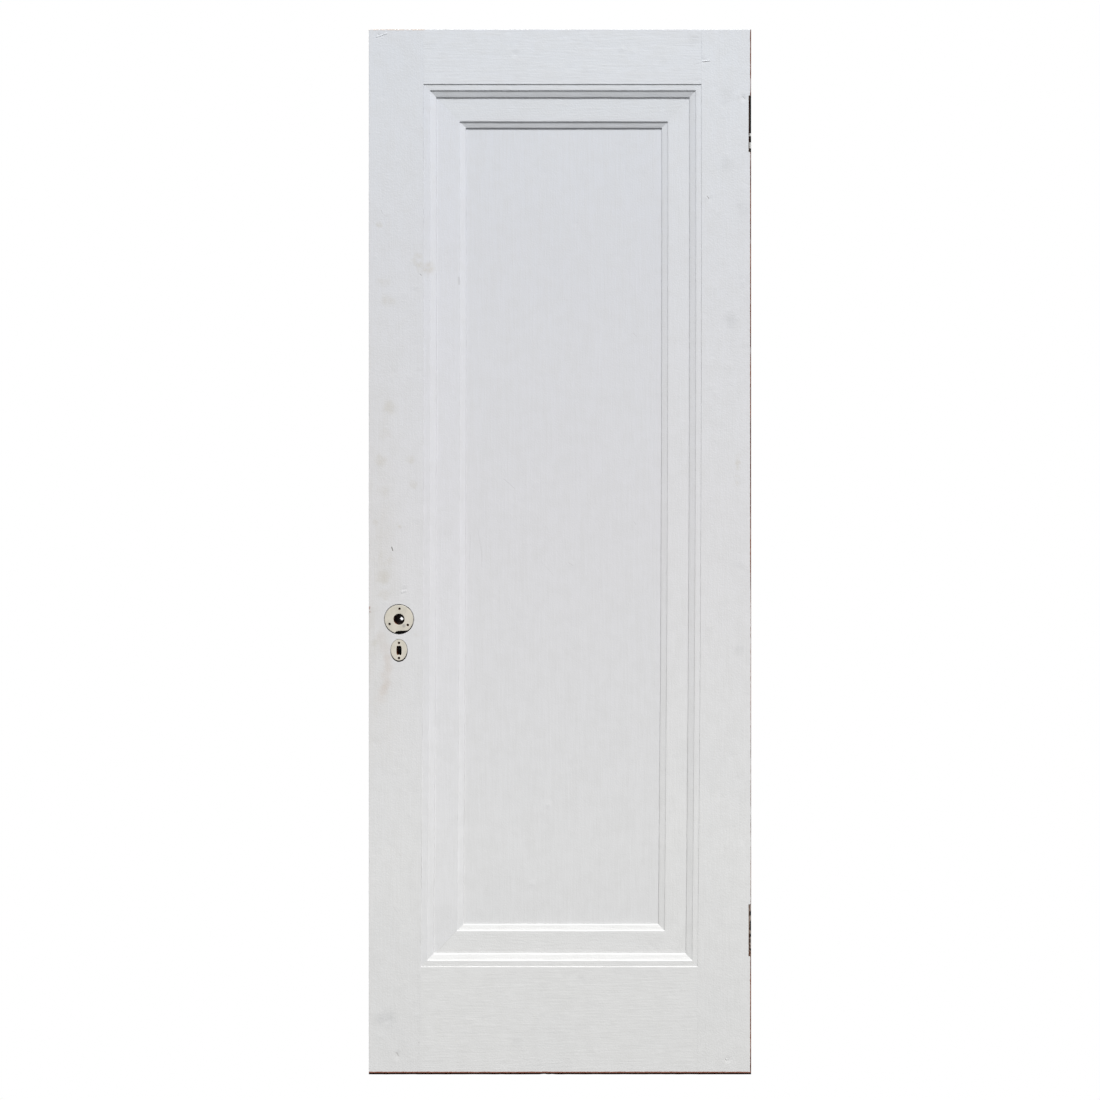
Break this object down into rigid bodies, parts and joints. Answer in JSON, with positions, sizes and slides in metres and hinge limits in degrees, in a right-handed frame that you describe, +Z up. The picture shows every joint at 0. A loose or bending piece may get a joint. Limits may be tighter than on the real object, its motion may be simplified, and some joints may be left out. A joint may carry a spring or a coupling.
{
  "type": "one-panel door leaf",
  "caption": "Painted solid wood door leaf with one moulded panel, empty hinge gains, and a mortise lock with its knob and keyhole plates.",
  "frame": {"origin": "centre of the floor of the upper hinge gain, in the leaf's right-hand edge, where the hinge leaf is screwed on", "axes": "+X out of the hinge edge, -Y out of the front face, +Z up"},
  "size_m": [0.762, 0.0454, 2.0828],
  "materials": {
    "painted_wood": "old white oil paint on wood, brushed, dulled and soiled, with bare brown wood on the hinge and bottom edges",
    "plated_brass": "worn pale plating, dull and spotted",
    "aged_brass": "tarnished brass with paint at its edges",
    "case_iron": "dark japanned iron, dusty"
  },
  "bodies": {
    "leaf": {"lock_stile_lower": "painted_wood", "lock_stile_middle": "painted_wood", "lock_stile_upper": "painted_wood", "hinge_stile": "painted_wood", "top_rail": "painted_wood", "bottom_rail": "painted_wood", "moulding_left": "painted_wood", "moulding_top": "painted_wood", "moulding_right": "painted_wood", "moulding_bottom": "painted_wood", "panel": "painted_wood", "front_rose": "plated_brass", "back_rose": "plated_brass", "front_key_plate": "plated_brass", "back_key_plate": "plated_brass", "lock_faceplate": "aged_brass", "upper_faceplate_screw": "aged_brass", "lower_faceplate_screw": "aged_brass", "lock_case": "case_iron", "lock_cap": "case_iron", "cap_screw": "case_iron"},
    "hub": {"hub": "case_iron"},
    "latch": {"latch_bolt": "aged_brass"},
    "bolt": {"dead_bolt": "aged_brass"}
  },
  "joints": [
    {"name": "latch_slide", "type": "slide", "parent": "leaf", "child": "latch", "axis": [-1, 0, 0], "range_m": [0, 0.012]},
    {"name": "hub_turn", "type": "hinge", "parent": "leaf", "child": "hub", "pos_m": [-0.69827, 0.00317, -0.9873], "axis": [0, -1, 0], "range_deg": [0, 45]},
    {"name": "dead_bolt_slide", "type": "slide", "parent": "leaf", "child": "bolt", "axis": [-1, 0, 0], "range_m": [0, 0.013]}
  ],
  "couplings": [
    {"joint": "hub_turn", "follows": "latch_slide", "rad_per_m": 65.45}
  ]
}
